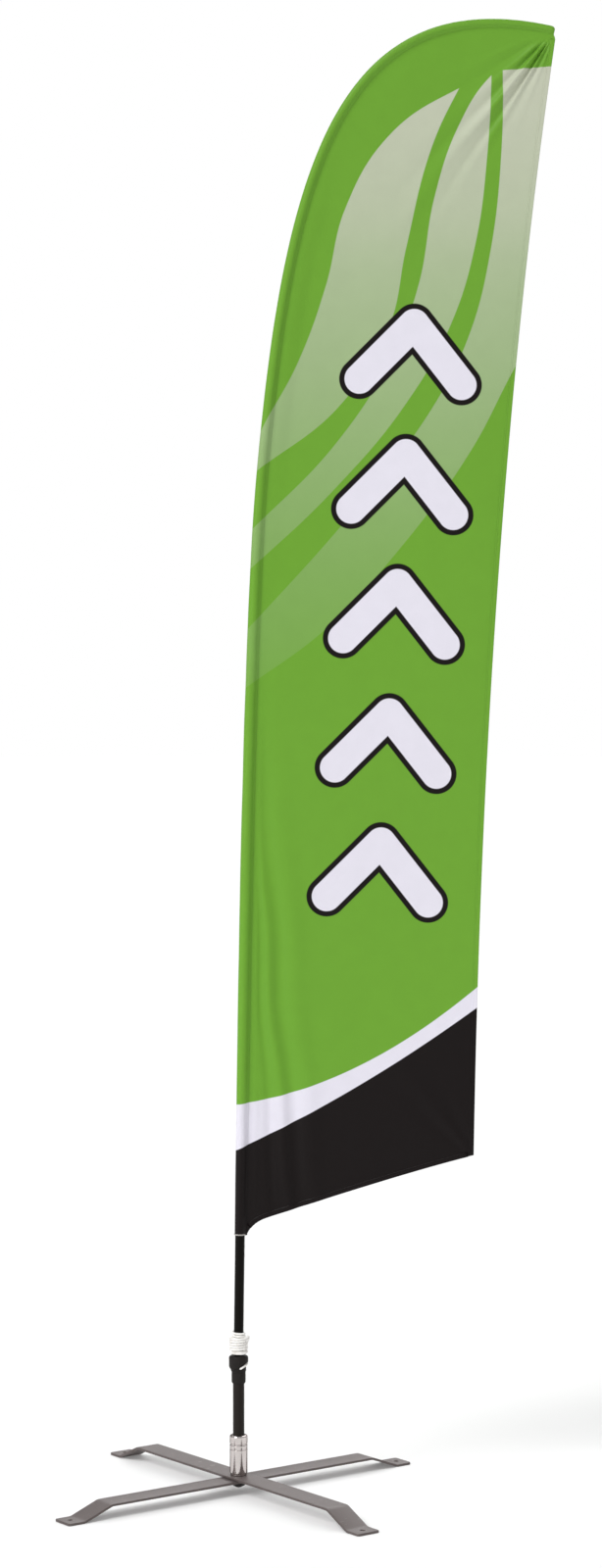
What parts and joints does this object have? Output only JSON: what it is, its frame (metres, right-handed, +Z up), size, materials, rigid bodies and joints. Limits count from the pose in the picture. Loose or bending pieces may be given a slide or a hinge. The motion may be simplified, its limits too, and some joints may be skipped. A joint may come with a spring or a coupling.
{
  "type": "feather flag on a cross base",
  "caption": "Tall bowed feather flag: printed fabric sail on a sectional rod, tension cord and cleat, turning on a ball-bearing hub over a folding flat-bar cross base.",
  "frame": {"origin": "on the spindle's turning axis at floor level; the hub's dome nut ends 9.5 mm above it", "axes": "+Z up along the spindle, +X the way the sail flies from the pole, +Y through the sail to its back"},
  "size_m": [0.9249, 0.6642, 2.7741],
  "materials": {
    "base_paint": "satin",
    "chrome": "polished",
    "steel": "satin",
    "dark_steel": "satin",
    "nylon": "satin",
    "pole_black": "satin",
    "cleat_black": "matte",
    "cord_white": "matte",
    "sail_green": "satin",
    "sail_black": "satin"
  },
  "bodies": {
    "base": {"lower_base_bar": "base_paint", "bar_friction_washer": "nylon", "stud_washer": "dark_steel", "hub_dome_nut": "dark_steel", "hub_stud": "steel", "hub_housing": "chrome", "bearing_spacer": "steel", "lower_bearing_outer_ring": "steel", "upper_bearing_outer_ring": "steel"},
    "upper_bar": {"upper_base_bar": "base_paint"},
    "ball_cages": {"lower_bearing_ball_cage": "steel", "upper_bearing_ball_cage": "steel"},
    "rotor": {"spindle": "steel", "rotor_collar": "chrome", "spindle_circlip": "dark_steel", "lower_bearing_inner_ring": "steel", "upper_bearing_inner_ring": "steel"},
    "pole_foot": {"foot_tube": "pole_black", "foot_tube_bush": "nylon", "foot_tube_sleeve": "cleat_black"},
    "rod": {"rod_section_lower": "pole_black", "rod_section_middle": "pole_black", "rod_section_top": "pole_black", "rod_section_lower_ferrule": "steel", "rod_section_middle_ferrule": "steel", "rod_tip_cap": "cleat_black", "cord_cleat": "cleat_black", "tension_cord": "cord_white", "tension_tab": "sail_black", "sail_pole_pocket": "sail_green", "sail_tip_pocket": "sail_green", "sail_panel": "sail_green", "sail_leech_hem": "sail_green", "sail_foot_hem": "sail_black"}
  },
  "joints": [
    {"name": "flag_spin", "type": "hinge", "parent": "base", "child": "rotor", "pos_m": [0, 0, 0.09], "axis": [0, 0, 1], "continuous": true},
    {"name": "cage_spin", "type": "hinge", "parent": "base", "child": "ball_cages", "pos_m": [0, 0, 0.06], "axis": [0, 0, 1], "continuous": true},
    {"name": "base_fold", "type": "hinge", "parent": "base", "child": "upper_bar", "pos_m": [0, 0, 0.03], "axis": [0, 0, 1], "range_deg": [-80, 80]},
    {"name": "pole_lift", "type": "slide", "parent": "rotor", "child": "pole_foot", "axis": [0, 0, 1], "range_m": [0, 0.19]},
    {"name": "rod_unplug", "type": "slide", "parent": "pole_foot", "child": "rod", "axis": [0, 0, 1], "range_m": [0, 0.145]}
  ],
  "couplings": [
    {"joint": "cage_spin", "follows": "flag_spin", "ratio": 0.392}
  ]
}
